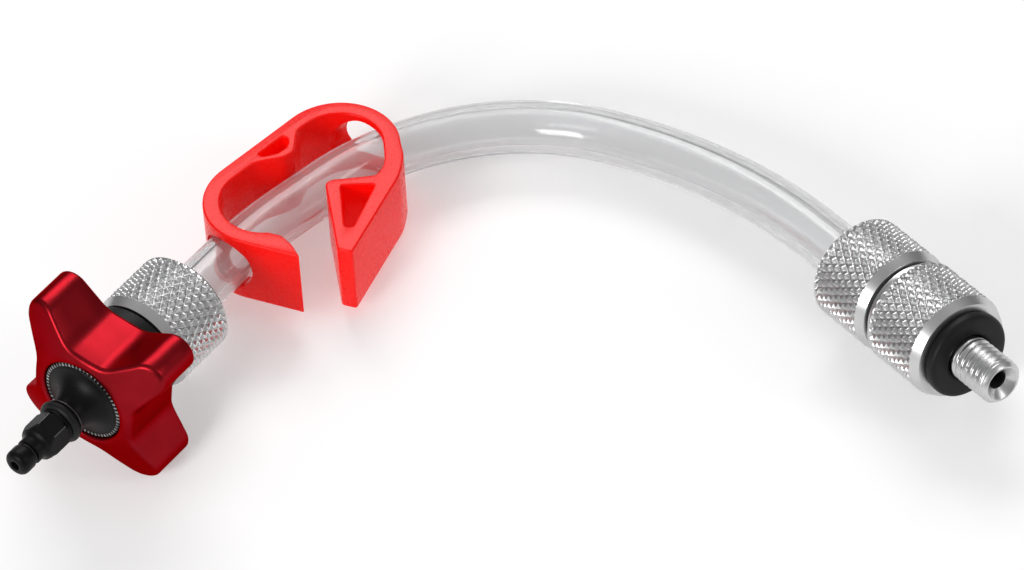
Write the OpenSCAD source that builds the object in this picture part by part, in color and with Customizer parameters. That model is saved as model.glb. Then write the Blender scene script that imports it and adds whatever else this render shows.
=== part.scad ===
// Clear bleed hose for suspension and brake service.
// A hexagon-drive port stem with a star knob swivels on one end, an M5 screw fitting is on
// the other, and an open pinch clamp is threaded on the hose between them.
// Millimetres. +Z up, standing on the lower knob arm, the screw fitting and the hose.

/* [Hose] */
// Outside diameter of the clear hose
hose_od = 6; // [5:0.5:8]
// Inside diameter of the clear hose
hose_id = 4; // [3:0.5:5]
// Radius of the bend next to the knob end
bend_a = 41; // [20:1:60]
// Radius of the tight bend at the top of the arch
bend_b = 27; // [20:0.5:30]
// Radius of the long bend next to the screw end
bend_c = 65; // [40:1:70]

/* [Knurled nuts] */
// Outside diameter over the knurl
nut_d = 12; // [10:0.5:14]
// Length of one knurled nut
nut_length = 8.6; // [8:0.1:9]
// Diameter of the compression thread between nut and body
nut_thread_d = 8.8; // [8.4:0.1:9.2]
// Small chamfer at the rear of the knurled parts
knurl_chamfer = 0.4; // [0.2:0.1:0.8]
// Length of the plain band in front of the knurl
band_length = 1.1; // [0.6:0.1:1.6]
// How far the plain band tapers down
band_drop = 0.5; // [0.2:0.1:0.8]

/* [Screw fitting] */
// Diameter of the screw thread (M5)
screw_d = 5; // [4:0.5:6]
// Length of the screw stem in front of the body
screw_length = 7.1; // [6:0.1:9]
// Length of the knurled body
body_length = 8.7; // [7:0.1:10]
// Diameter of the fluid passage
passage_d = 2; // [1.2:0.1:2.4]
// Outside diameter of the face seal
seal_d = 9.8; // [8:0.1:10.4]
// Section height of the face seal
seal_h = 1.5; // [1:0.1:2.4]

/* [Port stem] */
// Width across the flats of the drive hexagon
hex_af = 4; // [3:0.5:5]
// Length of the drive hexagon
hex_length = 3.1; // [2:0.1:4]
// Diameter of the smooth nose that enters the port
nose_d = 3; // [2.6:0.1:3.4]
// Diameter of the serrated disc let into the knob
disc_d = 9.8; // [9:0.1:10.4]
// Number of serrations on the disc
disc_teeth = 60; // [40:4:80]

/* [Star knob] */
// Distance from the axis to an arm's tip
knob_reach = 11.9; // [10.5:0.1:13]
// Distance from the axis to a valley floor
knob_valley = 6.5; // [5.8:0.1:7]
// Half width of an arm's round tip
arm_tip_r = 2.15; // [1.6:0.05:2.6]
// Thickness of the knob at its hub
knob_thickness = 7.8; // [6:0.1:9]
// How far the front face falls back towards the arm tips
knob_dome = 2.3; // [1:0.1:3]
// Angle that the knob is turned to, from straight down
knob_turn = 30; // [0:1:90]

/* [Pinch clamp] */
// Height of the clamp strap
clamp_height = 8.8; // [8.4:0.1:12]
// Thickness of the strap wall
strap_wall = 1.9; // [1.5:0.1:2.4]
// Outside radius of the two strap bends
strap_bend_r = 7; // [6.5:0.1:8]
// Distance between the centres of the two bends
strap_span = 11.1; // [10:0.1:14]
// Radius of the holes that the hose passes through
hose_hole_r = 3.4; // [3.3:0.05:3.7]
// Direction of the clamp along the hose
clamp_yaw = 40; // [30:1:50]
// Lean of the clamp about the hose
clamp_lean = 7; // [0:1:12]
// How far the jaw arm turns to pinch the hose shut
close_angle = 25; // [15:1:28]

/* [Resting attitude] */
// Tip of the hose plane about the left-to-right line
rest_tip = -7.5; // [-12:0.1:0]
// Tip of the hose plane about the front-to-back line
rest_roll = 3.7; // [0:0.1:5]
// Height of the hose plane above the surface at the middle
rest_height = 7.45; // [5:0.01:12]

/* [Hidden] */
$fn = 96;
eps = 0.01;

// Hose route in the hose plane: the nut's rear face, three corners, the other nut's rear face
knob_end = [-35.1, 6.8];
screw_end = [36.6, -6.6];
knob_heading = 48.4;
screw_heading = -62.3;
arch_corner = [-3, 33.8];
knob_corner_out = 12;
screw_corner_out = 22.3;
hose_inside = 6.4;
bend_lap = 0.3;
bend_extra = 0.02;

// Where the assembly's own bounding box is centred on the origin
rest_shift = [2.5, -0.52];

// Clearances
fit_gap = 0.08;
swivel_gap = 0.05;

// Compression end, measured from the nut's rear face outwards
nut_thread_r = nut_thread_d / 2;
skirt_from = 4.8;
thread_to = nut_length + 0.3;
nipple_from = 1.6;
hose_r = hose_od / 2;
hose_bore_r = hose_id / 2;
passage_r = passage_d / 2;
cone_shift = 1.48;
collet_to = 4.7;
collet_slit = 0.5;

// Swivel, along the knob axis
nose_r = 3.95;
socket_r = 2.25;
socket_from = 9.4;
socket_to = 14.6;
ring_from = 13.3;
ring_slot = 0.6;
ring_slot_r = 2.75;
washer_h = 1.6;
washer_r = 5.6;
knob_from = thread_to + washer_h + 0.2;
knob_to = knob_from + knob_thickness;

// Port stem, along the knob axis
stem_boss_r = 3;
boss_from = 15;
disc_h = 0.7;
disc_recess = 0.3;
disc_to = knob_to - disc_recess;
disc_from = disc_to - disc_h;
spigot_r = socket_r - swivel_gap;
spigot_from = socket_from + 0.1;
flare_from = disc_to;
flare_length = 2.9;
flare_r = 2;
flare_foot_r = 4.45;
seat_r = 1.5;
collar_r = 2.3;
seal_seat_from = flare_from + flare_length + 0.35;
seal_seat_length = 1.1;
hex_from = seal_seat_from + seal_seat_length + 0.3;
hex_to = hex_from + hex_length;
nose_from = hex_to + 0.4;
nose_groove_from = nose_from + 1.0;
nose_groove = 0.5;
nose_to = hex_to + 3.85;
drive_passage_r = 0.5;
nose_r_tip = nose_d / 2;
spigot_groove_r = 1.6;
spigot_seal_w = 0.6;
spigot_seal_at = [10.7, 12.2];

// Screw fitting, along the screw axis
shoulder_r = 5.3;
body_from = thread_to + 0.6;
body_to = body_from + body_length;
screw_to = body_to + screw_length;
countersink = 0.9;
countersink_r = 1.9;
relief_r = screw_d / 2 - 0.2;
screw_tip = 0.4;

// Clamp plan, in the clamp's own frame: x along the hose, y across it
clamp_at = [-20, 21.5, 0];
right_bend = [4, -0.3];
left_bend = [right_bend[0] - strap_span, right_bend[1]];
strap_in_r = strap_bend_r - strap_wall;
hinge_angle = -20;
hook_angle = 232;
hook_from = 204;
right_hole_at = [10, -2.4, 0.3];
right_slot_to = 0.6;
left_hole_at = [-13.1, -0.4, 0];
hole_reach = 4;
hinge_r = strap_wall / 2 - 0.05;
hinge_gap = 0.1;
root_step = 0.1;
jaw_face_back = 2.75;
jaw_face_front = -3.45;

function polar(r, a) = [r * cos(a), r * sin(a)];
hinge_at = right_bend + polar(strap_bend_r - strap_wall / 2, hinge_angle);

// ---------- frames ----------

module at_rest() {
  translate([rest_shift[0], rest_shift[1], rest_height]) rotate([rest_tip, rest_roll, 0]) children();
}

module on_knob_axis() {
  at_rest() translate([knob_end[0], knob_end[1], 0]) rotate([0, 90, knob_heading + 180]) children();
}

module on_screw_axis() {
  at_rest() translate([screw_end[0], screw_end[1], 0]) rotate([0, 90, screw_heading]) children();
}

module on_clamp() {
  at_rest() translate(clamp_at) rotate([clamp_lean, 0, clamp_yaw]) children();
}

// ---------- hose ----------

route = [
  knob_end - polar(hose_inside, knob_heading),
  knob_end + polar(knob_corner_out, knob_heading),
  arch_corner,
  screw_end - polar(screw_corner_out, screw_heading),
  screw_end + polar(hose_inside, screw_heading)
];
bends = [0, bend_a, bend_b, bend_c, 0];

function heading(i) = atan2(route[i + 1][1] - route[i][1], route[i + 1][0] - route[i][0]);
function turn(i) = heading(i - 1) - heading(i);
function inset(i) = bends[i] == 0 ? 0 : bends[i] * tan(turn(i) / 2);
function leg(i) = norm(route[i + 1] - route[i]) - inset(i) - inset(i + 1);

// The straights reach a little into the bends, which are thicker by a hair, so they join cleanly
module hose_leg(i, r) {
  lap = (i == 0 ? 0 : bend_lap);
  start = route[i] + polar(inset(i) - lap, heading(i));
  length = leg(i) + lap + (i == 3 ? 0 : bend_lap);
  translate([start[0], start[1], 0]) rotate([0, 90, heading(i)]) cylinder(r = r, h = length, $fn = 48);
}

module hose_bend(i, r) {
  start = route[i] - polar(inset(i), heading(i - 1));
  centre = start + polar(bends[i], heading(i - 1) - 90);
  translate([centre[0], centre[1], 0]) rotate([0, 0, heading(i) + 90])
    rotate_extrude(angle = turn(i)) translate([bends[i], 0]) circle(r = r + bend_extra, $fn = 48);
}

module hose_solid(r) {
  for (i = [0:3]) hose_leg(i, r);
  for (i = [1:3]) hose_bend(i, r);
}

module clear_hose() {
  color("gainsboro") at_rest() difference() {
    hose_solid(hose_r);
    hose_solid(hose_bore_r);
  }
}

// ---------- compression end, shared by both ends ----------

module nut() {
  r = nut_d / 2;
  bore = hose_r + 0.1;
  cavity = nut_thread_r + fit_gap;
  rotate_extrude() polygon([
    [bore, 0], [r - knurl_chamfer, 0], [r, knurl_chamfer], [r, nut_length - band_length],
    [r - band_drop, nut_length], [cavity, nut_length], [cavity, cavity - cone_shift],
    [bore, bore - cone_shift]
  ]);
}

module collet() {
  bore = hose_r + fit_gap;
  lip = bore + 0.04;
  r = nut_thread_r;
  lift = cone_shift - fit_gap;
  difference() {
    rotate_extrude() polygon([
      [bore, lip - lift], [lip, lip - lift], [r, r - lift], [r, collet_to], [bore, collet_to]
    ]);
    translate([0, -collet_slit / 2, 0]) cube([nut_d, collet_slit, nut_length]);
  }
}

// Outline of the hose nipple and the threaded skirt, from the passage out to the thread
nipple_outline = [
  [passage_r, nipple_from], [hose_bore_r - 0.3, nipple_from], [hose_bore_r, nipple_from + 0.4],
  [hose_bore_r, hose_inside], [hose_r, hose_inside], [hose_r, skirt_from],
  [nut_thread_r, skirt_from], [nut_thread_r, thread_to]
];

module seal_ring(centre_r, section_r, at) {
  translate([0, 0, at]) rotate_extrude() translate([centre_r, 0]) circle(r = section_r, $fn = 32);
}

// ---------- knob end ----------

module left_nut() {
  color("silver") on_knob_axis() nut();
}

module left_collet() {
  color("goldenrod") on_knob_axis() collet();
}

module swivel_body() {
  color("lightsteelblue") on_knob_axis() rotate_extrude() polygon(concat(nipple_outline, [
    [nose_r, thread_to], [nose_r, socket_to], [socket_r, socket_to],
    [socket_r, ring_from + ring_slot], [ring_slot_r, ring_from + ring_slot],
    [ring_slot_r, ring_from], [socket_r, ring_from], [socket_r, socket_from],
    [passage_r, socket_from]
  ]));
}

module knob_washer() {
  color("black") on_knob_axis() translate([0, 0, thread_to]) difference() {
    cylinder(r = washer_r, h = washer_h);
    translate([0, 0, -eps]) cylinder(r = nose_r, h = washer_h + 2 * eps);
  }
}

module star_outline() {
  tip = knob_reach - arm_tip_r;
  root = [knob_valley - 0.15, 2.75];
  slope = atan((root[1] - arm_tip_r) / (tip - root[0]));
  shoulder = [tip, 0] + arm_tip_r * [sin(slope), cos(slope)];
  rotate(45) square(2 * knob_valley, center = true);
  for (a = [0:90:270]) rotate(a) {
    polygon([[0, -root[1]], [root[0], -root[1]], [shoulder[0], -shoulder[1]],
             shoulder, root, [0, root[1]]]);
    translate([tip, 0]) circle(r = arm_tip_r);
  }
}

module star_knob() {
  reach = knob_reach + 1;
  face_r = disc_d / 2 + 0.7;
  color("firebrick") on_knob_axis() difference() {
    intersection() {
      translate([0, 0, knob_from]) linear_extrude(knob_thickness) rotate(knob_turn) star_outline();
      rotate_extrude() polygon([
        [0, knob_from], [reach, knob_from], [reach, knob_to - knob_dome],
        [face_r, knob_to], [0, knob_to]
      ]);
    }
    translate([0, 0, knob_from - 1]) cylinder(r = nose_r + swivel_gap, h = boss_from - knob_from + 1);
    translate([0, 0, boss_from - 1]) cylinder(r = stem_boss_r, h = knob_thickness);
    translate([0, 0, disc_from]) cylinder(r = disc_d / 2 + 0.15, h = 2);
  }
}

module port_stem() {
  tooth = 360 / disc_teeth;
  nose_groove_r = nose_r_tip - 0.65;
  color([0.15, 0.15, 0.16]) on_knob_axis() difference() {
    union() {
      // Spigot with its seal grooves and snap-ring groove, then the boss in the knob
      rotate_extrude() polygon([
        [0, spigot_from], [spigot_r - 0.3, spigot_from], [spigot_r, spigot_from + 0.3],
        for (s = spigot_seal_at) each [
          [spigot_r, s - spigot_seal_w / 2], [spigot_groove_r, s - spigot_seal_w / 2],
          [spigot_groove_r, s + spigot_seal_w / 2], [spigot_r, s + spigot_seal_w / 2]
        ],
        [spigot_r, ring_from], [spigot_groove_r, ring_from],
        [spigot_groove_r, ring_from + ring_slot], [spigot_r, ring_from + ring_slot],
        [spigot_r, boss_from], [stem_boss_r, boss_from], [stem_boss_r, disc_from + eps],
        [0, disc_from + eps]
      ]);
      // Serrated disc
      translate([0, 0, disc_from]) linear_extrude(disc_h) polygon([
        for (i = [0:disc_teeth - 1]) each [
          polar(disc_d / 2, i * tooth), polar(disc_d / 2 - 0.2, (i + 0.5) * tooth)
        ]
      ]);
      // Trumpet flare and collar
      rotate_extrude() difference() {
        polygon([
          [0, disc_to - eps], [flare_foot_r, disc_to - eps], [flare_foot_r, disc_to],
          [flare_r, disc_to + flare_length], [collar_r, disc_to + flare_length + 0.1],
          [collar_r, seal_seat_from], [seat_r, seal_seat_from],
          [seat_r, seal_seat_from + seal_seat_length],
          [collar_r - 0.2, seal_seat_from + seal_seat_length], [collar_r - 0.2, hex_from],
          [0, hex_from]
        ]);
        translate([flare_r + flare_length, disc_to + flare_length]) circle(r = flare_length - 0.02);
      }
      // Drive hexagon, chamfered towards the nose
      intersection() {
        translate([0, 0, hex_from - eps])
          cylinder(d = hex_af / cos(30), h = hex_length + eps, $fn = 6);
        rotate_extrude() polygon([
          [0, hex_from - 1], [hex_af, hex_from - 1], [hex_af, hex_to - 2],
          [hex_af / 2, hex_to], [0, hex_to]
        ]);
      }
      // Smooth nose with its seal groove and rounded tip
      rotate_extrude() polygon([
        [0, hex_to - eps], [hex_af / 2 - 0.1, hex_to - eps], [nose_r_tip, nose_from],
        [nose_r_tip, nose_groove_from], [nose_groove_r, nose_groove_from],
        [nose_groove_r, nose_groove_from + nose_groove], [nose_r_tip, nose_groove_from + nose_groove],
        [nose_r_tip, nose_to - 0.5], [nose_r_tip - 0.15, nose_to - 0.2],
        [nose_r_tip - 0.5, nose_to], [0, nose_to]
      ]);
    }
    translate([0, 0, spigot_from - 1]) cylinder(r = passage_r, h = disc_to - spigot_from + 1);
    translate([0, 0, disc_to - 1]) cylinder(r = drive_passage_r, h = nose_to - disc_to + 2);
  }
}

module nose_seal() {
  color("black") on_knob_axis()
    seal_ring(nose_r_tip - 0.4, nose_groove / 2, nose_groove_from + nose_groove / 2);
}

module port_seal() {
  color("black") on_knob_axis()
    seal_ring(seat_r + seal_seat_length / 2, seal_seat_length / 2,
              seal_seat_from + seal_seat_length / 2);
}

module spigot_seal(i) {
  color("black") on_knob_axis()
    seal_ring(spigot_groove_r + spigot_seal_w / 2, spigot_seal_w / 2, spigot_seal_at[i]);
}

module snap_ring() {
  color("gray") on_knob_axis() translate([0, 0, ring_from + 0.05]) difference() {
    cylinder(r = ring_slot_r - 0.1, h = ring_slot - 0.1);
    translate([0, 0, -eps]) cylinder(r = spigot_groove_r, h = ring_slot);
    translate([0, -0.6, -eps]) cube([4, 1.2, ring_slot]);
  }
}

// ---------- pinch clamp ----------

module clamp_slab() {
  linear_extrude(clamp_height, center = true) children();
}

// One bend of the strap, from its top round through the angle
module strap_bend(angle) {
  rotate(90) rotate_extrude(angle = angle)
    translate([strap_in_r, -clamp_height / 2]) square([strap_wall, clamp_height]);
}

module strap_blank() {
  hook_in = left_bend + polar(strap_in_r + root_step, hook_angle - 5);
  hook_out = left_bend + polar(strap_bend_r - root_step, hook_from);
  translate([left_bend[0], left_bend[1] + strap_in_r, -clamp_height / 2])
    cube([strap_span, strap_wall, clamp_height]);
  translate(left_bend) strap_bend(hook_angle - 90);
  translate(right_bend) mirror([1, 0, 0]) strap_bend(90 - hinge_angle);
  translate(hinge_at) cylinder(r = hinge_r, h = clamp_height, center = true);
  // Hook that latches the jaw arm, and the back jaw
  clamp_slab() polygon([hook_in, hook_out, [-11, -9.4], [-10.2, -7.4], [-9.95, -5.5]]);
  clamp_slab() polygon([[-4.3, strap_in_r], [-1.2, jaw_face_back + 0.1], [0.3, jaw_face_back],
                        [3.2, strap_in_r]]);
}

module jaw_plan() {
  fold_to = hinge_angle + 181 + close_angle;
  difference() {
    polygon([
      for (a = [hinge_angle:-4:-44]) right_bend + polar(strap_bend_r, a),
      [7.9, -6.8], [5.3, -8.7], [-6.8, -13.2], [-7.5, -11.6],
      [-1.1, jaw_face_front], [-0.3, jaw_face_front], [3.6, -6.8], [5.6, -6.1],
      for (a = [-44:4:hinge_angle]) right_bend + polar(strap_in_r, a)
    ]);
    polygon([[-0.2, -4.95], [2.4, -7.7], [-3.9, -10.5], [-4.5, -9.8]]);
    translate(hinge_at) circle(r = hinge_r + hinge_gap);
    // Room on the inside for the arm to fold
    polygon([hinge_at, hinge_at + polar(3, hinge_angle + 180), hinge_at + polar(3, fold_to)]);
  }
}

// Hole for the hose through one bend, along the hose's own direction there
module hose_hole(at, heading) {
  translate(at) rotate([0, 90, heading]) translate([0, 0, -hole_reach])
    cylinder(r = hose_hole_r, h = 2 * hole_reach);
}

// The right-hand hole is drawn out towards the back wall, with a second round end
module hose_holes() {
  flat_r = hose_hole_r - eps;
  slot_to = [right_hole_at[0], right_slot_to, right_hole_at[2]];
  hose_hole(left_hole_at, 8);
  hose_hole(right_hole_at, -22);
  hose_hole(slot_to, 0);
  translate([right_hole_at[0] - hole_reach, right_hole_at[1], right_hole_at[2] - flat_r])
    cube([2 * hole_reach, right_slot_to - right_hole_at[1], 2 * flat_r]);
}

module clamp_strap() {
  color("red") on_clamp() difference() {
    strap_blank();
    linear_extrude(clamp_height + 1, center = true)
      polygon([[-2.7, 5.4], [1.2, 5.4], [1.2, 4.5], [0.2, 3.8], [-1.2, 3.9], [-2.6, 4.8]]);
    hose_holes();
  }
}

module clamp_jaw() {
  color("orangered") on_clamp() difference() {
    clamp_slab() jaw_plan();
    hose_holes();
  }
}

// ---------- screw end ----------

module right_nut() {
  color("silver") on_screw_axis() nut();
}

module right_collet() {
  color("goldenrod") on_screw_axis() collet();
}

module screw_fitting() {
  r = nut_d / 2;
  screw_r = screw_d / 2;
  color("lightgray") on_screw_axis() rotate_extrude() polygon(concat(nipple_outline, [
    [shoulder_r, thread_to], [shoulder_r, body_from - 0.1], [r - knurl_chamfer, body_from],
    [r, body_from + knurl_chamfer], [r, body_to - band_length], [r - band_drop, body_to],
    [relief_r, body_to], [relief_r, body_to + seal_h], [screw_r, body_to + seal_h],
    [screw_r, screw_to - screw_tip], [screw_r - screw_tip, screw_to],
    [countersink_r, screw_to], [passage_r, screw_to - countersink]
  ]));
}

module face_seal() {
  r = seal_d / 2;
  edge = 0.6;
  color("black") on_screw_axis() translate([0, 0, body_to]) rotate_extrude() {
    polygon([[relief_r, 0], [r - edge, 0], [r, edge], [r, seal_h - edge],
             [r - edge, seal_h], [relief_r, seal_h]]);
    for (z = [edge, seal_h - edge]) translate([r - edge, z]) circle(r = edge);
  }
}

clear_hose();
swivel_body();
left_nut();
left_collet();
star_knob();
knob_washer();
port_stem();
nose_seal();
port_seal();
spigot_seal(1);  // spigot_seal_front
spigot_seal(0);  // spigot_seal_rear
snap_ring();
clamp_strap();
clamp_jaw();
right_nut();
right_collet();
screw_fitting();
face_seal();
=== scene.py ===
import math

import bmesh
import bpy
import numpy as np
from mathutils import Matrix, Vector


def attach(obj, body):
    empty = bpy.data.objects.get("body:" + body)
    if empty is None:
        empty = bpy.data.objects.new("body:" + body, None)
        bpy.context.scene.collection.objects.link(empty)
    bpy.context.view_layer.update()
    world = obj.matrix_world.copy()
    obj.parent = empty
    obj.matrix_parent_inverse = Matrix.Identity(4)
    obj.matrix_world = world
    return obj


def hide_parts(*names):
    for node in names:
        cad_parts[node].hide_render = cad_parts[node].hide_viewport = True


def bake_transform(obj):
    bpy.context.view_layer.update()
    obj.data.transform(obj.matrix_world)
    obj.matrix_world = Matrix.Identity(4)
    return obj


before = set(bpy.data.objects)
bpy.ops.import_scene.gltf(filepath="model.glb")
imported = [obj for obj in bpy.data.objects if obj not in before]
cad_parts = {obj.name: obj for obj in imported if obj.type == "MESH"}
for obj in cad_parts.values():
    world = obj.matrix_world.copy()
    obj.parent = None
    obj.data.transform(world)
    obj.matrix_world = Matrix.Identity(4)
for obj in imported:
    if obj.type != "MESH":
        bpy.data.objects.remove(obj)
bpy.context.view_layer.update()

MM = 0.001

# ---------- the shared frame ----------
# The CAD is laid out in the plane of the hose, then tipped so that it rests on the floor.

REST = (
    Matrix.Translation(Vector((2.5, -0.52, 7.45)) * MM)
    @ Matrix.Rotation(math.radians(3.7), 4, "Y")
    @ Matrix.Rotation(math.radians(-7.5), 4, "X")
)


def along(x, y, heading):
    """A frame whose z runs along the hose plane at that heading, from that point."""
    return (
        REST
        @ Matrix.Translation((x * MM, y * MM, 0))
        @ Matrix.Rotation(math.radians(heading), 4, "Z")
        @ Matrix.Rotation(math.radians(90), 4, "Y")
    )


KNOB_END, KNOB_HEADING = (-35.1, 6.8), 48.4
SCREW_END, SCREW_HEADING = (36.6, -6.6), -62.3
KNOB = along(*KNOB_END, KNOB_HEADING + 180)
SCREW = along(*SCREW_END, SCREW_HEADING)
CLAMP = (
    REST
    @ Matrix.Translation((-20 * MM, 21.5 * MM, 0))
    @ Matrix.Rotation(math.radians(40), 4, "Z")
    @ Matrix.Rotation(math.radians(7), 4, "X")
)

# ---------- camera ----------


VIEW_WIDTH = 110.1075  # millimetres across the picture, at the object


def make_camera():
    tilt, roll, distance = math.radians(40.1), math.radians(-9.7), 600
    forward = Vector((0, math.cos(tilt), -math.sin(tilt)))
    level = Vector((1, 0, 0))
    upright = level.cross(forward)
    right = level * math.cos(roll) + upright * math.sin(roll)
    up = upright * math.cos(roll) - level * math.sin(roll)
    place = Matrix(
        [
            [right[i], up[i], -forward[i], -forward[i] * distance * MM]
            for i in range(3)
        ]
        + [[0, 0, 0, 1]]
    )
    data = bpy.data.cameras.new("camera")
    data.sensor_width = 36
    data.lens = data.sensor_width * distance / VIEW_WIDTH
    data.clip_start = 0.05
    data.clip_end = 10
    data.dof.use_dof = False
    camera = bpy.data.objects.new("camera", data)
    bpy.context.collection.objects.link(camera)
    camera.matrix_world = REST @ place
    bpy.context.scene.camera = camera


make_camera()

# ---------- materials ----------


def material(
    name,
    colour,
    rough,
    metal=0.0,
    tone=0.06,
    scale=900.0,
    bump=0.1,
    grain=0.05,
    ior=1.5,
    dust=None,
):
    """A surface with uneven tone and gloss and a fine grain. dust adds worn, lighter specks."""
    m = bpy.data.materials.new(name)
    m.use_nodes = True
    nodes, links = m.node_tree.nodes, m.node_tree.links
    shader = nodes["Principled BSDF"]
    shader.inputs["Metallic"].default_value = metal
    shader.inputs["IOR"].default_value = ior
    where = nodes.new("ShaderNodeTexCoord")
    broad = nodes.new("ShaderNodeTexNoise")
    broad.inputs["Scale"].default_value = scale * 0.25
    broad.inputs["Detail"].default_value = 4
    fine = nodes.new("ShaderNodeTexNoise")
    fine.inputs["Scale"].default_value = scale * 4
    fine.inputs["Detail"].default_value = 3
    for texture in (broad, fine):
        links.new(where.outputs["Object"], texture.inputs["Vector"])
    ramp = nodes.new("ShaderNodeValToRGB")
    ramp.color_ramp.elements[0].position = 0.3
    ramp.color_ramp.elements[1].position = 0.7
    ramp.color_ramp.elements[0].color = [c * (1 - tone) for c in colour] + [1]
    ramp.color_ramp.elements[1].color = [min(1, c * (1 + tone)) for c in colour] + [1]
    links.new(broad.outputs["Fac"], ramp.inputs["Fac"])
    surface = ramp.outputs["Color"]
    if dust:
        amount, light = dust
        mask = nodes.new("ShaderNodeValToRGB")
        mask.color_ramp.elements[0].position = 1 - amount
        mask.color_ramp.elements[1].position = min(1, 1.08 - amount)
        mix = nodes.new("ShaderNodeMix")
        mix.data_type = "RGBA"
        links.new(fine.outputs["Fac"], mask.inputs["Fac"])
        links.new(mask.outputs["Color"], mix.inputs["Factor"])
        links.new(surface, mix.inputs[6])
        mix.inputs[7].default_value = (light, light, light, 1)
        surface = mix.outputs[2]
    links.new(surface, shader.inputs["Base Color"])
    gloss = nodes.new("ShaderNodeMapRange")
    gloss.inputs["To Min"].default_value = max(0.02, rough - grain)
    gloss.inputs["To Max"].default_value = min(1, rough + grain)
    links.new(fine.outputs["Fac"], gloss.inputs["Value"])
    links.new(gloss.outputs["Result"], shader.inputs["Roughness"])
    relief = nodes.new("ShaderNodeBump")
    relief.inputs["Strength"].default_value = bump
    relief.inputs["Distance"].default_value = 0.00003
    links.new(fine.outputs["Fac"], relief.inputs["Height"])
    links.new(relief.outputs["Normal"], shader.inputs["Normal"])
    return m


def clear_material(name):
    m = material(name, (0.86, 0.865, 0.87), 0.05, tone=0.01, scale=120, bump=0.03, grain=0.02)
    shader = m.node_tree.nodes["Principled BSDF"]
    shader.inputs["Transmission Weight"].default_value = 0.86
    shader.inputs["IOR"].default_value = 1.4
    shader.inputs["Alpha"].default_value = 0.92
    return m


def moulded_painted_glow_material(name, colour):
    """Plastic that lets a little light through, with a painted glow: a faint emission in its own red keeps
    its shaded inner walls bright.
    """
    m = material(name, colour, 0.28, tone=0.03, scale=500, bump=0.05, ior=1.28)
    shader = m.node_tree.nodes["Principled BSDF"]
    shader.inputs["Subsurface Weight"].default_value = 0.18
    shader.inputs["Subsurface Radius"].default_value = (1.0, 0.12, 0.1)
    shader.inputs["Subsurface Scale"].default_value = 0.003
    # Painted glow: emission in the plastic's own red, standing in for light on its shaded inner walls.
    shader.inputs["Emission Color"].default_value = (*colour, 1)
    shader.inputs["Emission Strength"].default_value = 0.11
    return m


def anodised_material(name, colour):
    m = material(name, colour, 0.36, metal=1.0, tone=0.08, scale=1600, bump=0.1)
    m.node_tree.nodes["Principled BSDF"].inputs["Specular Tint"].default_value = (0.7, 0.12, 0.16, 1)
    return m


ALUMINIUM = material("aluminium", (0.58, 0.58, 0.585), 0.34, metal=1, tone=0.07, scale=1400, bump=0.08)
SATIN = material("satin_alu", (0.5, 0.5, 0.505), 0.38, metal=1, tone=0.06, scale=2000, bump=0.2)
# Painted shade: a near-black colour on the bore's walls, standing in for the shade inside the hole.
BORE_PAINTED_SHADE = material("bore_painted_shade", (0.02, 0.02, 0.02), 0.7, metal=0.3, tone=0.2, scale=2000, bump=0.2)
RED_ANODISED = anodised_material("red_anodised", (0.27, 0.0089, 0.0142))
BLACK_METAL = material(
    "black_metal", (0.0025, 0.0025, 0.0025), 0.42,
    tone=0.25, scale=1800, bump=0.35, ior=1.22, dust=(0.3, 0.02),
)
WORN_EDGE = material("worn_edge", (0.05, 0.05, 0.05), 0.4, metal=0.4, tone=0.5, scale=2500, bump=0.3)
WORN_TEETH = material("worn_teeth", (0.3, 0.3, 0.3), 0.35, metal=0.7, tone=0.6, scale=2500, bump=0.3)
RUBBER = material("rubber", (0.006, 0.006, 0.006), 0.5, tone=0.2, scale=1500, bump=0.15, ior=1.3)
# Red clamp plastic, with a painted glow that lifts its shaded inner walls.
RED_PLASTIC_PAINTED_GLOW = moulded_painted_glow_material("red_plastic", (0.92, 0.004, 0.002))
BRASS = material("brass", (0.62, 0.46, 0.18), 0.35, metal=1, tone=0.08, scale=1500)
STEEL = material("spring_steel", (0.4, 0.4, 0.41), 0.35, metal=1, tone=0.08, scale=1500)
CLEAR = clear_material("clear_tube")

# ---------- mesh tools (millimetres in a local frame) ----------


def build(name, points, faces, place, body, nodes, surface, angle=35):
    mesh = bpy.data.meshes.new(name)
    world = place @ Matrix.Scale(MM, 4)
    mesh.from_pydata([world @ Vector(p) for p in points], [], faces)
    finish_mesh(mesh, angle)
    return enter(name, mesh, body, nodes, surface)


def join_scene(name, data):
    obj = bpy.data.objects.new(name, data)
    bpy.context.collection.objects.link(obj)
    return obj


def clean(mesh, merge=0.0):
    """Turns the faces outwards, after merging points closer than merge."""
    bm = bmesh.new()
    bm.from_mesh(mesh)
    if merge:
        bmesh.ops.remove_doubles(bm, verts=bm.verts, dist=merge)
    bmesh.ops.recalc_face_normals(bm, faces=bm.faces)
    bm.to_mesh(mesh)
    bm.free()


def finish_mesh(mesh, angle):
    clean(mesh, 1e-7)
    mesh.polygons.foreach_set("use_smooth", [True] * len(mesh.polygons))
    mesh.set_sharp_from_angle(angle=math.radians(angle))
    mesh.update()


def enter(name, mesh, body, nodes, surface):
    obj = join_scene(name, mesh)
    if not mesh.materials:
        mesh.materials.append(surface)
    if body:
        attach(obj, body)
    if nodes:
        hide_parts(*nodes)
    return obj


def wrap(rings):
    """Quads over a closed loop of closed rings, each a list of as many points."""
    count, around = len(rings), len(rings[0])
    points = [tuple(p) for ring in rings for p in ring]
    faces = []
    for i in range(count):
        j = (i + 1) % count
        for k in range(around):
            m = (k + 1) % around
            faces.append((i * around + k, i * around + m, j * around + m, j * around + k))
    return points, faces


def paint(obj, place, surface, chosen):
    """Gives a second material to the faces whose centre (r, z) in the piece's own frame is chosen."""
    local = (place @ Matrix.Scale(MM, 4)).inverted()
    obj.data.materials.append(surface)
    for polygon in obj.data.polygons:
        centre = local @ polygon.center
        if chosen(math.hypot(centre.x, centre.y), centre.z):
            polygon.material_index = 1


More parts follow.
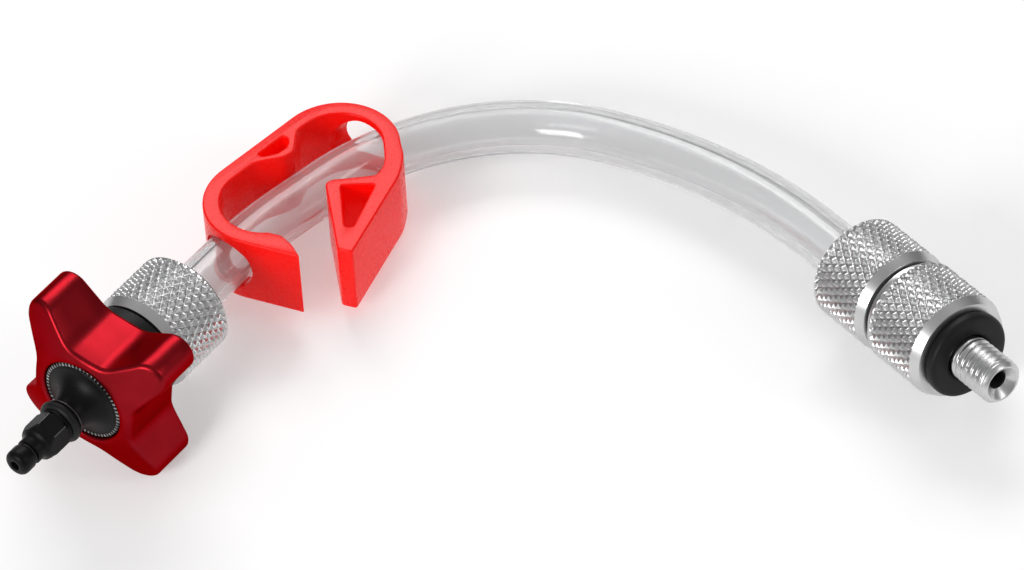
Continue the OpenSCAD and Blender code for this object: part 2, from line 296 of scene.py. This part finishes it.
def soften(profile, reach=0.15, steps=3):
    """Rounds each corner of a closed (r, z) outline."""
    out = []
    count = len(profile)
    for i, corner in enumerate(profile):
        p = np.array(corner[:2], float)
        before, after = np.array(profile[i - 1][:2], float), np.array(profile[(i + 1) % count][:2], float)
        r = corner[2] if len(corner) > 2 else reach
        lb, la = np.linalg.norm(before - p), np.linalg.norm(after - p)
        r = min(r, lb * 0.45, la * 0.45)
        if r < 1e-6:
            out.append(tuple(p))
            continue
        a, b = p + (before - p) * r / lb, p + (after - p) * r / la
        for s in range(steps + 1):
            t = s / steps
            out.append(tuple(a * (1 - t) ** 2 + p * 2 * t * (1 - t) + b * t * t))
    return out


def spread(a, b, step):
    """Points from a to b, no further apart than step."""
    a, b = np.array(a, float), np.array(b, float)
    count = max(1, math.ceil(np.linalg.norm(b - a) / step))
    return [tuple(a + (b - a) * i / count) for i in range(count + 1)]


def turned(profile, around, relief=None):
    """Rings of a turned piece. relief(angles, r, z) gives the radii where the surface isn't round."""
    angles = np.arange(around) * 2 * math.pi / around
    rings = []
    for r, z in profile:
        radii = relief(angles, r, z) if relief else np.full(around, r)
        rings.append(np.column_stack([radii * np.cos(angles), radii * np.sin(angles), np.full(around, z)]))
    return wrap(rings)


# ---------- hose ----------

HOSE_R, HOSE_BORE = 3.0, 2.0
HOSE_INSIDE = 6.4  # how far the hose reaches into each fitting
KNOB_STRAIGHT, SCREW_STRAIGHT = 12, 22.3
BEND_CORNER = (-3, 33.8)
BENDS = (41, 27, 65)
LINE_STEP = 0.6


def polar(r, degrees):
    return np.array([r * math.cos(math.radians(degrees)), r * math.sin(math.radians(degrees))])


def hose_line():
    """The hose's centreline in the hose plane: straights joined by round bends, the same as the CAD's."""
    knob, screw = np.array(KNOB_END), np.array(SCREW_END)
    corners = [
        knob - polar(HOSE_INSIDE, KNOB_HEADING),
        knob + polar(KNOB_STRAIGHT, KNOB_HEADING),
        np.array(BEND_CORNER),
        screw - polar(SCREW_STRAIGHT, SCREW_HEADING),
        screw + polar(HOSE_INSIDE, SCREW_HEADING),
    ]
    headings = [math.degrees(math.atan2(*(b - a)[::-1])) for a, b in zip(corners, corners[1:])]
    line = [corners[0]]
    for bend, corner, before, after in zip(BENDS, corners[1:], headings, headings[1:]):
        turn = before - after
        start = corner - polar(bend * math.tan(math.radians(turn / 2)), before)
        centre = start + polar(bend, before - 90)
        steps = max(8, int(bend * math.radians(turn) / 0.5))
        if np.linalg.norm(start - line[-1]) > LINE_STEP:
            line += [np.array(p) for p in spread(line[-1], start, LINE_STEP)[1:-1]]
        for s in range(steps + 1):
            line.append(centre + polar(bend, before + 90 - turn * s / steps))
    line += [np.array(p) for p in spread(line[-1], corners[-1], LINE_STEP)[1:]]
    return line


def make_hose():
    line = hose_line()
    around, edge_r = 64, HOSE_R - 0.5

    def ring(i, radius):
        a, b = line[max(0, i - 1)], line[min(len(line) - 1, i + 1)]
        d = (b - a) / np.linalg.norm(b - a)
        side = np.array([-d[1], d[0]])
        out = []
        for k in range(around):
            t = 2 * math.pi * k / around
            flat = line[i] + side * radius * math.cos(t)
            out.append((flat[0], flat[1], radius * math.sin(t)))
        return out

    last = len(line) - 1
    rings = [ring(i, HOSE_R) for i in range(last + 1)] + [ring(last, edge_r)]
    rings += [ring(i, HOSE_BORE) for i in range(last, -1, -1)] + [ring(0, edge_r)]
    points, faces = wrap(rings)
    obj = build(
        "clear_hose_tube", points, faces, REST, "hose_line", ["clear_hose"], CLEAR, 50
    )


make_hose()

# ---------- knurled pieces ----------

NUT_R, NUT_LENGTH = 6.0, 8.6
KNURL_TEETH, KNURL_PITCH, KNURL_DEPTH = 38, 1.7, 0.36
AROUND = KNURL_TEETH * 10


def saw(x):
    """0 in a groove, 1 on the ridge between two."""
    return np.abs(2 * (x - np.floor(x)) - 1)


def diamonds(angles, z):
    turn = angles * KNURL_TEETH / (2 * math.pi)
    left = 1 - saw(turn + z / KNURL_PITCH)
    right = 1 - saw(turn - z / KNURL_PITCH)
    return np.minimum(np.minimum(left, right) * 1.2, 1.0)


def knurl(angles, r, z, start, end):
    """Radii inside the knurled band, which fades over its last fraction of a millimetre."""
    if not start <= z <= end or r < NUT_R - 0.05:
        return np.full(len(angles), r)
    fade = min(1, (z - start) / 0.25 + 0.15, (end - z) / 0.25 + 0.15)
    return r - KNURL_DEPTH * fade * (1 - diamonds(angles, z))


def make_nut(name, place, body, node):
    cavity, bore, cone = 4.48, 3.1, 1.48
    front = NUT_LENGTH - 1.1
    outer = spread((NUT_R, 0.4), (NUT_R, front), 0.09)
    profile = (
        soften([(bore, 0, 0.15), (NUT_R - 0.4, 0, 0.2)], 0.15)[4:]
        + outer
        + [(NUT_R - 0.03, front + 0.03)]
        + spread((NUT_R - 0.06, front + 0.1), (NUT_R - 0.5, NUT_LENGTH), 0.3)
        + [(NUT_R - 0.62, NUT_LENGTH + 0.02), (cavity + 0.1, NUT_LENGTH + 0.02)]
        + [(cavity, NUT_LENGTH - 0.1)]
        + [(cavity, cavity - cone), (bore, bore - cone), (bore, 0.12), (bore + 0.12, 0)]
    )
    apart = [np.linalg.norm(np.subtract(b, a)) > 1e-4 for a, b in zip(profile, profile[1:])]
    profile = profile[:1] + [p for p, keep in zip(profile[1:], apart) if keep]
    points, faces = turned(profile, AROUND, lambda a, r, z: knurl(a, r, z, 0.4, front))
    build(name, points, faces, place, body, [node], ALUMINIUM, 42)


make_nut("left_nut_knurled", KNOB, "left_nut", "left_nut")
make_nut("right_nut_knurled", SCREW, "right_nut", "right_nut")

# ---------- compression thread, shared by both ends ----------

# The pitch is the distance that the joint lets a nut travel in one turn.

SKIRT_FROM, SKIRT_TO, SKIRT_R = 4.8, 8.9, 4.38
SKIRT_PITCH, SKIRT_DEPTH = 1.0, 0.3


def helix(angles, r, z, pitch, depth, start, end):
    """Radii of a rounded thread, which fades in and out over its ends."""
    climb = saw(z / pitch - angles / (2 * math.pi))
    fade = min(1, (z - start) / 0.4 + 0.1, (end - z) / 0.4 + 0.2)
    return r - depth * fade * (1 - np.clip(climb * 1.3 - 0.15, 0, 1))


def skirt_relief(angles, r, z):
    if SKIRT_FROM + 0.1 <= z <= SKIRT_TO - 0.1 and abs(r - SKIRT_R) < 0.01:
        return helix(angles, r, z, SKIRT_PITCH, SKIRT_DEPTH, SKIRT_FROM + 0.1, SKIRT_TO - 0.1)
    return np.full(len(angles), r)


NIPPLE = (
    [(1.0, 1.6), (1.7, 1.6), (2.0, 2.0), (2.0, 6.4), (3.02, 6.4), (3.02, SKIRT_FROM)]
    + [(SKIRT_R - 0.12, SKIRT_FROM)]
    + spread((SKIRT_R, SKIRT_FROM + 0.1), (SKIRT_R, SKIRT_TO - 0.1), 0.085)
)


def make_swivel_body():
    outline = NIPPLE + [
        (4.3, SKIRT_TO), (3.95, SKIRT_TO), (3.95, 14.5), (3.85, 14.6), (2.35, 14.6), (2.25, 14.5),
        (2.25, 13.9), (2.75, 13.9), (2.75, 13.3), (2.25, 13.3), (2.25, 9.4), (1.0, 9.4),
    ]
    points, faces = turned(outline, 200, skirt_relief)
    build(
        "swivel_body_threaded", points, faces, KNOB, "hose_line", ["swivel_body"],
        SATIN, 42,
    )


make_swivel_body()

# ---------- screw fitting ----------

BODY_FROM, BODY_TO, SCREW_TO = 9.5, 18.2, 25.3
THREAD_PITCH, THREAD_DEPTH, THREAD_R = 0.8, 0.34, 2.5


def make_fitting():
    knurl_from, front = BODY_FROM + 0.65, BODY_TO - 1.1
    thread_from, thread_to = BODY_TO + 1.7, SCREW_TO - 0.45

    def relief(angles, r, z):
        if knurl_from <= z <= front and r > NUT_R - 0.05:
            return knurl(angles, r, z, knurl_from, front)
        if thread_from <= z <= thread_to and abs(r - THREAD_R) < 0.05:
            return helix(angles, r, z, THREAD_PITCH, THREAD_DEPTH, thread_from, thread_to)
        return skirt_relief(angles, r, z)

    profile = (
        NIPPLE
        + [(4.3, SKIRT_TO), (5.2, 8.9), (5.3, 9.0), (5.3, 9.36), (5.2, 9.42)]
        + [(NUT_R - 0.5, 9.46), (NUT_R - 0.4, BODY_FROM)]
        + spread((NUT_R, BODY_FROM + 0.4), (NUT_R, front), 0.09)
        + [(NUT_R - 0.03, front + 0.03)]
        + spread((NUT_R - 0.06, front + 0.1), (NUT_R - 0.5, BODY_TO), 0.3)
        + [(NUT_R - 0.65, BODY_TO + 0.02), (THREAD_R - 0.1, BODY_TO + 0.02)]
        + [(THREAD_R - 0.3, thread_from - 0.1)]
        + spread((THREAD_R, thread_from), (THREAD_R, thread_to), 0.06)
        + [(2.2, SCREW_TO - 0.1), (2.08, SCREW_TO), (1.92, SCREW_TO - 0.02), (1.85, SCREW_TO - 0.08)]
        + [(1.04, SCREW_TO - 0.85), (1.0, SCREW_TO - 0.92), (1.0, SCREW_TO - 1.1)]
    )
    points, faces = turned(profile, AROUND, relief)
    obj = build(
        "screw_fitting_knurled", points, faces, SCREW, "hose_line", ["screw_fitting"],
        ALUMINIUM, 42,
    )
    # The bore's faces get the near-black painted shade of the hole.
    paint(obj, SCREW, BORE_PAINTED_SHADE, lambda r, z: r < 1.02)


make_fitting()


def make_ring(name, profile, reach, place, body, node, surface):
    points, faces = turned(soften(profile, reach, 5), 160)
    build(name, points, faces, place, body, [node], surface, 40)


make_ring(
    "face_seal_ring",
    [(2.32, BODY_TO + 0.03), (4.88, BODY_TO + 0.03), (4.9, BODY_TO + 1.5), (2.55, BODY_TO + 1.5)],
    0.62, SCREW, "hose_line", "face_seal", RUBBER,
)

# ---------- knob end ----------

KNOB_FROM, KNOB_TO = 10.7, 18.5
DISC_FROM, DISC_TO, DISC_TEETH = 17.5, 18.2, 60
KNOB_REACH, KNOB_VALLEY, ARM_TIP_R = 11.9, 6.5, 2.15
KNOB_TURN = 30

make_ring(
    "knob_washer_ring",
    [(3.95, 8.93), (5.6, 8.93), (5.6, 10.47), (3.95, 10.47)],
    0.2, KNOB, "hose_line", "knob_washer", RUBBER,
)


def star_radius(degrees):
    """Distance from the axis to the knob's outline, at an angle from the nearest arm."""
    off = abs((degrees + 45) % 90 - 45)
    t = math.radians(off)
    valley = KNOB_VALLEY / math.cos(math.radians(45) - t)
    tip = KNOB_REACH - ARM_TIP_R
    root = np.array([KNOB_VALLEY - 0.15, 2.85])
    slope = math.atan((root[1] - ARM_TIP_R) / (tip - root[0]))
    shoulder = np.array([tip + ARM_TIP_R * math.sin(slope), ARM_TIP_R * math.cos(slope)])
    ray = np.array([math.cos(t), math.sin(t)])
    if shoulder[1] / shoulder[0] >= ray[1] / ray[0]:
        b = tip * ray[0]
        arm = b + math.sqrt(max(0, b * b - tip * tip + ARM_TIP_R**2))
    else:
        edge = root - shoulder
        across = ray[0] * edge[1] - ray[1] * edge[0]
        arm = (shoulder[0] * edge[1] - shoulder[1] * edge[0]) / across
        arm = max(arm, 0.1)
    blend = 0.75
    mix = max(0.0, blend - abs(valley - arm)) / blend
    return max(valley, arm) + mix * mix * blend * 0.25


def star_points(count):
    dense = np.arange(0, 360, 0.1)
    radii = np.array([star_radius(d) for d in dense])
    line = np.column_stack([radii * np.cos(np.radians(dense)), radii * np.sin(np.radians(dense))])
    steps = np.linalg.norm(np.roll(line, -1, axis=0) - line, axis=1)
    run = np.concatenate([[0], np.cumsum(steps)])
    closed = np.vstack([line, line[:1]])
    at = np.arange(count) * run[-1] / count
    return np.column_stack([np.interp(at, run, closed[:, 0]), np.interp(at, run, closed[:, 1])])


def make_knob():
    count, flat_r = 720, 5.7
    line = star_points(count)
    run = np.roll(line, -1, axis=0) - np.roll(line, 1, axis=0)
    run /= np.linalg.norm(run, axis=1)[:, None]
    inward = np.column_stack([-run[:, 1], run[:, 0]])
    round_ = line / np.linalg.norm(line, axis=1)[:, None]
    turn = math.radians(KNOB_TURN)
    spin = np.array([[math.cos(turn), -math.sin(turn)], [math.sin(turn), math.cos(turn)]])

    def ring(flat, z):
        flat = flat @ spin.T
        height = z if isinstance(z, np.ndarray) else np.full(count, z)
        return np.column_stack([flat, height])

    def front(flat):
        r = np.linalg.norm(flat, axis=1)
        fall = np.clip((r - flat_r) / (KNOB_REACH - flat_r), 0, None)
        return KNOB_TO - 2.3 * (0.15 * fall * fall + 0.85 * fall)

    back_bore = ((3.05, DISC_FROM), (3.05, 15.0), (4.0, 15.0), (4.0, 10.95), (4.15, KNOB_FROM))
    front_bore = ((5.26, 18.47), (5.16, 18.4), (5.08, 18.25), (5.05, 17.95), (5.05, DISC_FROM))
    rings = [ring(round_ * r, z) for r, z in back_bore]
    edge = 0.45
    for s in range(6):
        a = math.radians(90 * s / 5)
        rings.append(ring(line + inward * edge * (1 - math.sin(a)), KNOB_FROM + edge * (1 - math.cos(a))))
    top = front(line)
    for share in (0.25, 0.5, 0.75):
        rings.append(ring(line, (KNOB_FROM + edge) * (1 - share) + (top - edge) * share))
    for s in range(7):
        a = math.radians(90 * s / 6)
        flat = line + inward * edge * (1 - math.cos(a))
        rings.append(ring(flat, front(flat) - edge * (1 - math.sin(a))))
    inner = line + inward * edge
    for s in range(1, 15):
        t = s / 14
        flat = inner * (1 - t) + round_ * 5.45 * t
        rings.append(ring(flat, front(flat)))
    rings += [ring(round_ * r, z) for r, z in front_bore]
    points, faces = wrap(rings)
    build(
        "star_knob_body", points, faces, KNOB, "knob", ["star_knob"], RED_ANODISED, 45
    )


make_knob()

HEX_FROM, HEX_TO, HEX_R, TIP = 22.95, 26.05, 2.0, 29.8


def make_stem():
    hex_corner = HEX_R / math.cos(math.radians(30))

    def relief(angles, r, z):
        if DISC_FROM <= z <= DISC_TO + 0.01 and r > 4.6:
            bite = 0.26 * (1 - np.clip(saw(angles * DISC_TEETH / (2 * math.pi)) * 1.6 - 0.2, 0, 1))
            return r - bite
        if HEX_FROM <= z <= HEX_TO and r > HEX_R:
            off = np.mod(angles, math.radians(60)) - math.radians(30)
            flats = HEX_R / np.cos(off)
            return np.minimum(np.minimum(flats, hex_corner * 0.985), r)
        return np.full(len(angles), r)

    flare, flare_r = [], 2.86
    for s in range(19):
        a = math.radians(90 * s / 18)
        flare.append((4.9 - flare_r * math.sin(a), 21.1 - flare_r * math.cos(a)))
    flare = [p for p in flare if p[0] <= 4.5]
    profile = (
        [(1.0, 9.5), (1.9, 9.5), (2.2, 9.8)]
        + [p for z in (10.7, 12.2) for p in ((2.2, z - 0.3), (1.6, z - 0.3), (1.6, z + 0.3), (2.2, z + 0.3))]
        + [(2.2, 13.3), (1.6, 13.3), (1.6, 13.9), (2.2, 13.9), (2.2, 15.0), (3.0, 15.0), (3.0, 17.5)]
        + [(4.7, DISC_FROM), (4.98, 17.6), (4.98, 17.95), (4.94, 18.12), (4.8, 18.22)]
        + [(4.55, 18.22), (4.46, 18.23)]
        + flare
        + [(2.04, 21.1), (2.25, 21.14), (2.34, 21.22), (2.34, 21.38), (2.25, 21.45), (1.5, 21.45)]
        + [(1.5, 22.55), (2.0, 22.55), (2.12, 22.62), (2.14, 22.8), (2.05, 22.94)]
        + [(2.02, HEX_FROM), (2.1, HEX_FROM + 0.08), (2.3, HEX_FROM + 0.3)]
        + [(2.31, HEX_FROM + 0.5), (2.31, HEX_TO - 0.9), (2.24, HEX_TO - 0.65), (2.1, HEX_TO - 0.2)]
        + [(2.0, HEX_TO + 0.01), (1.9, HEX_TO + 0.06), (1.62, HEX_TO + 0.3), (1.54, HEX_TO + 0.45)]
        + [(1.5, HEX_TO + 0.6), (1.5, 27.35), (1.46, 27.43), (1.36, 27.47), (0.85, 27.47), (0.85, 27.95)]
        + [(1.36, 27.96), (1.46, 28.0), (1.5, 28.1), (1.5, 29.1), (1.46, 29.35), (1.34, 29.56), (1.14, 29.7)]
        + [(0.9, 29.78), (0.68, TIP), (0.56, 29.76), (0.5, 29.66), (0.5, 17.2), (1.0, 17.2)]
    )
    points, faces = turned(profile, DISC_TEETH * 6, relief)
    obj = build(
        "port_stem_black", points, faces, KNOB, "knob", ["port_stem"], BLACK_METAL, 32
    )
    collar_edge = 2.325

    def worn(r, z):
        on_corner = r > hex_corner * 0.98 and HEX_FROM + 0.2 < z < HEX_TO
        return on_corner or (r > collar_edge and 21 < z < 22)

    paint(obj, KNOB, WORN_EDGE, worn)


make_stem()


def make_teeth():
    """The worn, light crests of the disc's serrations."""
    points, faces = [], []
    inner, outer = 4.52, 4.98
    box = ((3, 2, 1, 0), (4, 5, 6, 7), (0, 1, 5, 4), (1, 2, 6, 5), (2, 3, 7, 6), (3, 0, 4, 7))
    for i in range(DISC_TEETH):
        a = 2 * math.pi * (i + 0.5) / DISC_TEETH
        half = 0.12 + 0.03 * math.sin(i * 2.3)
        base = len(points)
        for z, r0, r1 in ((18.12, inner, outer - 0.02), (18.235, inner + 0.04, outer - 0.14)):
            for r, side in ((r0, -1), (r1, -1), (r1, 1), (r0, 1)):
                x, y = r, side * half * (0.75 if z > 18.2 else 1)
                points.append((x * math.cos(a) - y * math.sin(a), x * math.sin(a) + y * math.cos(a), z))
        faces += [tuple(base + k for k in f) for f in box]
    build("stem_teeth_crests", points, faces, KNOB, "knob", [], WORN_TEETH, 30)


make_teeth()


def make_seal(name, centre_r, section_r, z, place, body, node):
    profile = [
        (centre_r + section_r * math.cos(t), z + section_r * math.sin(t))
        for t in (2 * math.pi * k / 24 for k in range(24))
    ]
    points, faces = turned(profile, 96)
    build(name, points, faces, place, body, [node], RUBBER, 60)


make_seal("port_seal_ring", 2.05, 0.55, 22.0, KNOB, "knob", "port_seal")
make_seal("nose_seal_ring", 1.1, 0.25, 27.7, KNOB, "knob", "nose_seal")

# ---------- pinch clamp ----------

CLAMP_HEIGHT = 8.8
BEND_R, WALL = 7.0, 1.9
RIGHT, LEFT = np.array([4.0, -0.3]), np.array([-7.1, -0.3])


def round_corners(corners):
    """A plan outline with each corner (x, y, reach) rounded."""
    return soften(corners, 0.3, 5)


def arc(centre, r, start, end):
    """Points (x, y, reach) about 4 degrees apart, which are not rounded again."""
    count = max(2, math.ceil(abs(end - start) / 4))
    turns = [start + (end - start) * i / count for i in range(count + 1)]
    return [(*(centre + polar(r, turn)), 0.0) for turn in turns]


def clamp_outline():
    inner_r = BEND_R - WALL
    outer = (
        arc(LEFT, BEND_R, 204, 90) + arc(RIGHT, BEND_R, 90, -44)
        + [(7.9, -6.8, 1.2), (5.3, -8.7, 1.0), (-6.8, -13.2, 0.35), (-7.5, -11.6, 0.35)]
        + [(-1.1, -3.45, 0.4), (-0.3, -3.45, 0.4), (3.6, -6.8, 0.6), (5.6, -6.1, 0.9)]
    )
    inner = (
        arc(RIGHT, inner_r, -44, 90)
        + [(2.85, 4.8, 0.7), (0.3, 2.75, 0.35), (-1.2, 2.85, 0.5), (-3.95, 4.8, 0.9)]
        + arc(LEFT, inner_r, 90, 227)
        + [(-9.95, -5.5, 0.25), (-10.2, -7.4, 0.6), (-11, -9.4, 0.45)]
    )
    return round_corners(outer + inner)


POCKETS = (
    [
        (-2.7, 5.4, 0.2), (1.2, 5.4, 0.3), (1.2, 4.5, 0.3),
        (0.2, 3.8, 0.3), (-1.2, 3.9, 0.3), (-2.6, 4.8, 0.2),
    ],
    [(-0.2, -4.95, 0.4), (2.4, -7.7, 0.4), (-3.9, -10.5, 0.4), (-4.5, -9.8, 0.4)],
)


def plan_curve(name, outlines, height, edge):
    curve = bpy.data.curves.new(name, "CURVE")
    curve.dimensions = "2D"
    curve.fill_mode = "BOTH"
    curve.extrude = height / 2 - edge
    curve.bevel_depth = edge
    curve.bevel_resolution = 3
    curve.offset = -edge
    for outline in outlines:
        spline = curve.splines.new("POLY")
        spline.points.add(len(outline) - 1)
        for point, (x, y) in zip(spline.points, outline):
            point.co = (x, y, 0, 1)
        spline.use_cyclic_u = True
    return bpy.data.objects.new(name, curve)


def to_mesh(obj, name):
    bpy.context.collection.objects.link(obj)
    bpy.context.view_layer.update()
    ready = obj.evaluated_get(bpy.context.evaluated_depsgraph_get())
    mesh = bpy.data.meshes.new_from_object(ready)
    mesh.name = name
    bpy.data.objects.remove(obj)
    clean(mesh, 1e-4)
    return mesh


def prism(outline, low, high):
    count = len(outline)
    points = [(x, y, low) for x, y in outline] + [(x, y, high) for x, y in outline]
    faces = [tuple(range(count))[::-1], tuple(range(count, 2 * count))]
    faces += [(i, (i + 1) % count, (i + 1) % count + count, i + count) for i in range(count)]
    return points, faces


def tool(name, points, faces):
    mesh = bpy.data.meshes.new(name)
    mesh.from_pydata([tuple(p) for p in points], [], faces)
    clean(mesh)
    return join_scene(name, mesh)


def cut(mesh, tools, operation):
    """The mesh after cutting with each tool; the tools stay."""
    obj = join_scene("cutting", mesh)
    for t in tools:
        modifier = obj.modifiers.new("cut", "BOOLEAN")
        modifier.operation = operation
        modifier.object = t
        modifier.solver = "EXACT"
    bpy.context.view_layer.update()
    ready = obj.evaluated_get(bpy.context.evaluated_depsgraph_get())
    out = bpy.data.meshes.new_from_object(ready)
    bpy.data.objects.remove(obj)
    return out


HOLE_R = 3.4
RIGHT_HOLE = (10, -2.4, 0.3)


def hole_tool(name, at, heading, slot=0.0, half=4.0):
    """A bar that cuts the hose's way through a bend, round or drawn out along y by the slot's length."""
    turn = (
        Matrix.Translation(at)
        @ Matrix.Rotation(math.radians(heading), 4, "Z")
        @ Matrix.Rotation(math.radians(90), 4, "Y")
    )
    outline = []
    for k in range(72):
        t = 2 * math.pi * (k + 0.5) / 72
        outline.append((HOLE_R * math.cos(t), HOLE_R * math.sin(t) + (slot if math.sin(t) > 0 else 0)))
    points, faces = prism(outline, -half, half)
    return tool(name, [turn @ Vector(p) for p in points], faces)


def make_clamp():
    outlines = [clamp_outline()] + [round_corners(p) for p in POCKETS]
    whole = to_mesh(plan_curve("clamp_plan", outlines, CLAMP_HEIGHT, 0.22), "clamp_whole")
    holes = [
        hole_tool("hole_left", (-13.1, -0.4, 0), 8),
        hole_tool("hole_right", RIGHT_HOLE, -22),
        hole_tool("slot_right", RIGHT_HOLE, 0, slot=3.0, half=4.03),
    ]
    whole = cut(whole, holes, "DIFFERENCE")
    arm_side = [(6.5, 1.6), (13, 1.6), (13, -16), (-9, -16), (-9, -11.6), (-3.5, -3.2), (3.5, -3.2)]
    side = tool("arm_side", *prism(arm_side, -8, 8))
    strap, arm = cut(whole.copy(), [side], "DIFFERENCE"), cut(whole.copy(), [side], "INTERSECT")
    for t in holes + [side]:
        bpy.data.objects.remove(t)
    for mesh in (strap, arm):
        mesh.transform(CLAMP @ Matrix.Scale(MM, 4))
        mesh.materials.clear()
        finish_mesh(mesh, 34)
    enter("clamp_strap_moulded", strap, "hose_line", ["clamp_strap"], RED_PLASTIC_PAINTED_GLOW)
    jaw = enter("clamp_jaw_moulded", arm, None, ["clamp_jaw"], RED_PLASTIC_PAINTED_GLOW)
    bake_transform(jaw)


make_clamp()

# ---------- carried-over CAD pieces ----------

for node, surface in (
    ("left_collet", BRASS), ("right_collet", BRASS),
    ("spigot_seal_front", RUBBER), ("spigot_seal_rear", RUBBER), ("snap_ring", STEEL),
):
    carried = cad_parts[node]
    carried.data.materials.clear()
    carried.data.materials.append(surface)

# ---------- floor, light and view ----------


def make_floor():
    mesh = bpy.data.meshes.new("floor")
    half = 3
    corners = [(-half, -half, 0), (half, -half, 0), (half, half, 0), (-half, half, 0)]
    mesh.from_pydata(corners, [], [(0, 1, 2, 3)])
    obj = join_scene("floor", mesh)
    paper = material("floor_paper", (0.72, 0.72, 0.72), 0.9, tone=0.01, scale=30, bump=0.02, ior=1.2)
    shader = paper.node_tree.nodes["Principled BSDF"]
    shader.inputs["Emission Color"].default_value = (1, 1, 1, 1)
    shader.inputs["Emission Strength"].default_value = 0.34
    mesh.materials.append(paper)


def make_light(name, place, size, power):
    data = bpy.data.lights.new(name, "AREA")
    data.shape = "RECTANGLE"
    data.size, data.size_y = size
    data.energy = power
    obj = join_scene(name, data)
    obj.location = place
    obj.rotation_euler = (-Vector(place)).to_track_quat("-Z", "Y").to_euler()


make_floor()
make_light("key", (-0.55, -0.5, 0.4), (0.3, 0.3), 3.8)
make_light("back", (0.08, 0.5, 0.5), (0.45, 0.25), 2.0)
make_light("edge", (0.5, -0.25, 0.3), (0.12, 0.3), 0.6)


def make_sky():
    """A studio dome, darker near the horizon so that the metals keep their contrast."""
    world = bpy.data.worlds.new("studio")
    world.use_nodes = True
    nodes, links = world.node_tree.nodes, world.node_tree.links
    where = nodes.new("ShaderNodeTexCoord")
    split = nodes.new("ShaderNodeSeparateXYZ")
    ramp = nodes.new("ShaderNodeValToRGB")
    ramp.color_ramp.elements[0].position = 0.05
    ramp.color_ramp.elements[1].position = 0.75
    ramp.color_ramp.elements[0].color = (0.1, 0.1, 0.1, 1)
    ramp.color_ramp.elements[1].color = (0.42, 0.42, 0.42, 1)
    links.new(where.outputs["Generated"], split.inputs["Vector"])
    links.new(split.outputs["Z"], ramp.inputs["Fac"])
    links.new(ramp.outputs["Color"], nodes["Background"].inputs["Color"])
    return world


scene = bpy.context.scene
scene.world = make_sky()
scene.view_settings.view_transform = "Standard"
scene.cycles.use_denoising = True
scene.cycles.max_bounces = 16
scene.cycles.transmission_bounces = 14
scene.cycles.transparent_max_bounces = 12
